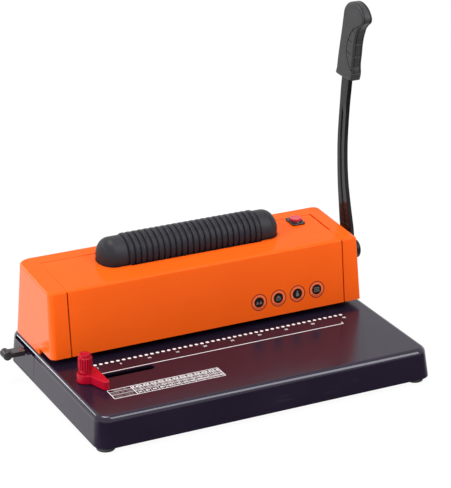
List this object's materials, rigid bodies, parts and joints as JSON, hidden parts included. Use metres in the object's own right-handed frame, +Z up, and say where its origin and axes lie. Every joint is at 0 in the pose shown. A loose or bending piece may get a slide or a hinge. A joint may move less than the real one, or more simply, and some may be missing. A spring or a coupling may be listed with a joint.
{
  "type": "wire binding machine",
  "caption": "Desktop spiral coil binder: a lever punch for paper edges with a motor-driven coil roller, a waste drawer and a sliding side guide.",
  "frame": {"origin": "on the table, under the middle of the whole machine's box, drawer pull and lever boss included", "axes": "+X to the right along the punched edge, seen from the user's side; +Y away from the user, towards the back of the housing; +Z up"},
  "size_m": [0.4134, 0.2484, 0.3661],
  "materials": {
    "orange_plastic": "gloss orange moulding",
    "black_plastic": "gloss black moulding",
    "charcoal_plastic": "satin charcoal moulding",
    "grip_plastic": "satin dark grey moulding",
    "red_plastic": "gloss red moulding",
    "button_plastic": "clear red moulding",
    "dark_rubber": "dull charcoal rubber",
    "black_paint": "gloss black coat on steel",
    "bright_steel": "ground steel",
    "plated_steel": "zinc plated steel sheet",
    "bronze": "sintered bronze"
  },
  "bodies": {
    "machine": {"base_shell": "black_plastic", "bottom_plate": "plated_steel", "foot_front_left": "dark_rubber", "foot_front_right": "dark_rubber", "foot_rear_left": "dark_rubber", "foot_rear_right": "dark_rubber", "power_inlet": "black_plastic", "power_supply": "plated_steel", "die_plate": "bright_steel", "punch_guide_plate": "plated_steel", "paper_backstop": "plated_steel", "side_frame_left": "plated_steel", "side_frame_right": "plated_steel", "shaft_bush_left": "bronze", "shaft_bush_right": "bronze", "return_spring_left": "bright_steel", "return_spring_right": "bright_steel", "front_cover": "orange_plastic", "rear_casing": "orange_plastic", "casing_screw_left_low": "plated_steel", "casing_screw_left_high": "plated_steel", "casing_screw_right_low": "plated_steel", "casing_screw_right_high": "plated_steel", "roller_shroud_left": "charcoal_plastic", "roller_shroud_right": "charcoal_plastic", "roller_bearing_left": "bronze", "roller_bearing_right": "bronze", "roller_cradle": "plated_steel", "drive_belt": "dark_rubber", "roller_motor": "plated_steel", "motor_bracket": "plated_steel", "switch_bezel": "black_plastic", "drawer_runner_front": "plated_steel", "drawer_runner_rear": "plated_steel"},
    "lever": {"main_shaft": "bright_steel", "eccentric_left": "bright_steel", "eccentric_right": "bright_steel", "lever_hub": "black_plastic", "lever_arm": "black_paint", "lever_grip": "grip_plastic", "lever_boss": "black_plastic"},
    "punch": {"punch_carrier": "plated_steel", "punch_pins": "bright_steel"},
    "coil_roller": {"roller_sleeve": "dark_rubber", "roller_shaft": "bright_steel", "driven_pulley": "black_plastic"},
    "motor_rotor": {"motor_pulley": "bright_steel"},
    "start_button": {"switch_button": "button_plastic"},
    "guide": {"side_guide": "red_plastic", "guide_nut": "plated_steel"},
    "clamp_knob": {"guide_knob": "red_plastic"},
    "drawer": {"waste_drawer": "black_plastic", "drawer_pull": "black_plastic"}
  },
  "joints": [
    {"name": "lever_hinge", "type": "hinge", "parent": "machine", "child": "lever", "pos_m": [0.2067, 0.0602, 0.081], "axis": [1, 0, 0], "range_deg": [0, 75]},
    {"name": "punch_slide", "type": "slide", "parent": "machine", "child": "punch", "axis": [0, 0, -1], "range_m": [0, 0.0081], "stiffness_N_per_m": 8000, "springref_m": -0.003, "deforming": ["return_spring_left", "return_spring_right"]},
    {"name": "roller_spin", "type": "hinge", "parent": "machine", "child": "coil_roller", "pos_m": [0.006, 0.06715, 0.123], "axis": [1, 0, 0], "continuous": true},
    {"name": "motor_spin", "type": "hinge", "parent": "machine", "child": "motor_rotor", "pos_m": [0.0843, 0.09415, 0.078], "axis": [1, 0, 0], "continuous": true},
    {"name": "button_press", "type": "slide", "parent": "machine", "child": "start_button", "axis": [0, 0.0531, -0.9986], "range_m": [0, 0.0025], "stiffness_N_per_m": 400, "springref_m": -0.0025},
    {"name": "guide_slide", "type": "slide", "parent": "machine", "child": "guide", "axis": [1, 0, 0], "range_m": [0, 0.072]},
    {"name": "knob_turn", "type": "hinge", "parent": "guide", "child": "clamp_knob", "pos_m": [-0.1593, -0.03685, 0.038], "axis": [0, 0, 1], "range_deg": [0, 270]},
    {"name": "drawer_slide", "type": "slide", "parent": "machine", "child": "drawer", "axis": [-1, 0, 0], "range_m": [0, 0.27]}
  ],
  "couplings": [
    {"joint": "punch_slide", "follows": "lever_hinge", "m_per_rad": 0.006112},
    {"joint": "motor_spin", "follows": "roller_spin", "ratio": 2.125}
  ]
}
